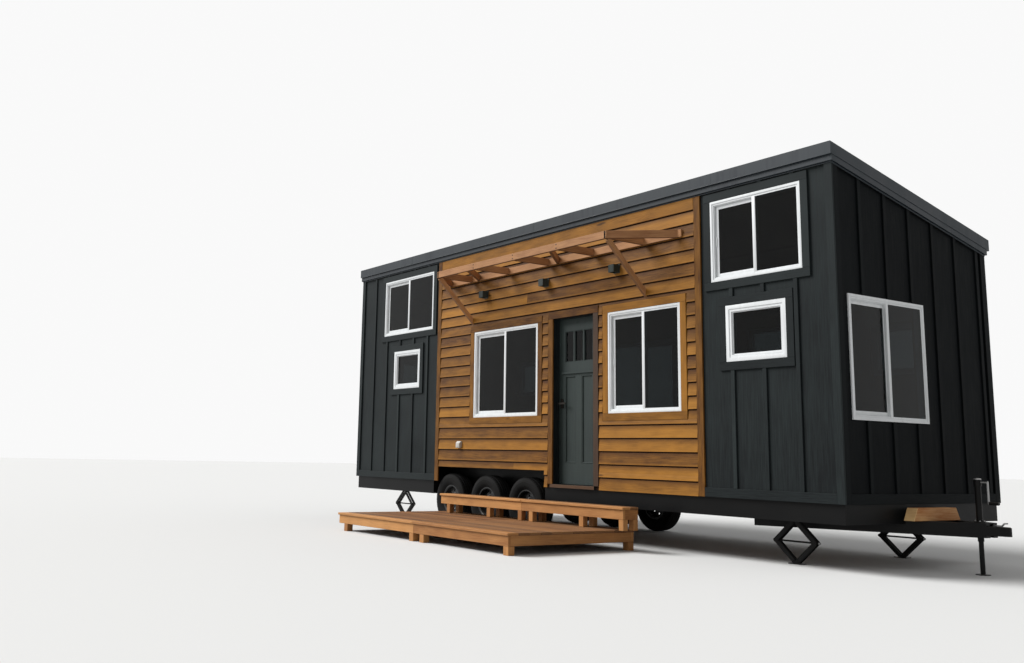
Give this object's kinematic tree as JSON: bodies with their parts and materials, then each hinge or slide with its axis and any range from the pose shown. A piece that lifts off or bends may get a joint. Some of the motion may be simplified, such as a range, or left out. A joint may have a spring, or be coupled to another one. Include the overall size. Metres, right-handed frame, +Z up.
{
  "type": "tiny house on a triple-axle trailer",
  "caption": "Shed-roofed tiny house on a wheeled steel trailer, clad in cedar and black boards, with a side door, timber awning, tongue with jack, and an entry deck with a step.",
  "frame": {"origin": "on the ground, under the middle of everything, the deck and the tongue included", "axes": "+X along the house towards the towing end, -Y out of the front where the door is, +Z up"},
  "size_m": [10.095, 4.55, 4.0491],
  "materials": {
    "stud_wall": "satin",
    "floor_panel": "satin",
    "roof_panel": "satin",
    "roof_metal": "satin",
    "cedar": "satin",
    "black_siding": "satin",
    "white_frame": "satin",
    "window_glass": "gloss",
    "door_timber": "satin",
    "door_paint": "satin",
    "door_hardware": "satin",
    "black_steel": "satin",
    "bright_steel": "satin",
    "tyre": "matte",
    "rim": "satin",
    "raw_timber": "matte",
    "outlet_plastic": "satin",
    "black_light": "satin"
  },
  "bodies": {
    "house": {"awning": "cedar", "axles": "black_steel", "back_wall_left": "stud_wall", "back_wall_over_wheels": "stud_wall", "back_wall_right": "stud_wall", "back_window_frames": "white_frame", "back_window_glass": "window_glass", "black_back_siding": "black_siding", "black_end_siding": "black_siding", "black_front_siding": "black_siding", "black_trim": "black_siding", "cedar_siding": "cedar", "cedar_trim": "cedar", "coupler": "black_steel", "door_frame": "door_timber", "end_window_frames": "white_frame", "end_window_glass": "window_glass", "entry_deck": "raw_timber", "entry_step": "raw_timber", "floor": "floor_panel", "front_wall_left": "stud_wall", "front_wall_over_door": "stud_wall", "front_wall_over_wheels": "stud_wall", "front_wall_right": "stud_wall", "front_window_frames": "white_frame", "front_window_glass": "window_glass", "left_end_wall": "stud_wall", "left_scissor_jacks": "black_steel", "outlet_box": "outlet_plastic", "right_end_wall": "stud_wall", "right_scissor_jacks": "black_steel", "roof_cover": "roof_metal", "roof_slab": "roof_panel", "roof_trim": "roof_metal", "timber_block": "raw_timber", "tongue": "black_steel", "tongue_jack": "black_steel", "trailer_frame": "black_steel", "wall_lights": "black_light", "wheel_wells": "black_steel"},
    "door": {"door_leaf": "door_paint", "door_glass": "window_glass", "door_handle": "door_hardware"},
    "crank": {"jack_crank": "bright_steel"},
    "front_wheel_1": {"front_tyre_1": "tyre", "front_rim_1": "rim"},
    "front_wheel_2": {"front_tyre_2": "tyre", "front_rim_2": "rim"},
    "front_wheel_3": {"front_tyre_3": "tyre", "front_rim_3": "rim"},
    "back_wheel_1": {"back_tyre_1": "tyre", "back_rim_1": "rim"},
    "back_wheel_2": {"back_tyre_2": "tyre", "back_rim_2": "rim"},
    "back_wheel_3": {"back_tyre_3": "tyre", "back_rim_3": "rim"}
  },
  "joints": [
    {"name": "door_swing", "type": "hinge", "parent": "house", "child": "door", "pos_m": [0.82, -0.236, 1], "axis": [0, 0, -1], "range_deg": [0, 95]},
    {"name": "jack_crank_turn", "type": "hinge", "parent": "house", "child": "crank", "pos_m": [4.7975, 0.91, 0.844], "axis": [1, 0, 0], "continuous": true},
    {"name": "front_wheel_1_spin", "type": "hinge", "parent": "house", "child": "front_wheel_1", "pos_m": [-2.3075, -0.2375, 0.365], "axis": [0, 1, 0], "continuous": true},
    {"name": "front_wheel_2_spin", "type": "hinge", "parent": "house", "child": "front_wheel_2", "pos_m": [-1.4375, -0.2375, 0.365], "axis": [0, 1, 0], "continuous": true},
    {"name": "front_wheel_3_spin", "type": "hinge", "parent": "house", "child": "front_wheel_3", "pos_m": [-0.5675, -0.2375, 0.365], "axis": [0, 1, 0], "continuous": true},
    {"name": "back_wheel_1_spin", "type": "hinge", "parent": "house", "child": "back_wheel_1", "pos_m": [-2.3075, 2.0575, 0.365], "axis": [0, 1, 0], "continuous": true},
    {"name": "back_wheel_2_spin", "type": "hinge", "parent": "house", "child": "back_wheel_2", "pos_m": [-1.4375, 2.0575, 0.365], "axis": [0, 1, 0], "continuous": true},
    {"name": "back_wheel_3_spin", "type": "hinge", "parent": "house", "child": "back_wheel_3", "pos_m": [-0.5675, 2.0575, 0.365], "axis": [0, 1, 0], "continuous": true}
  ]
}
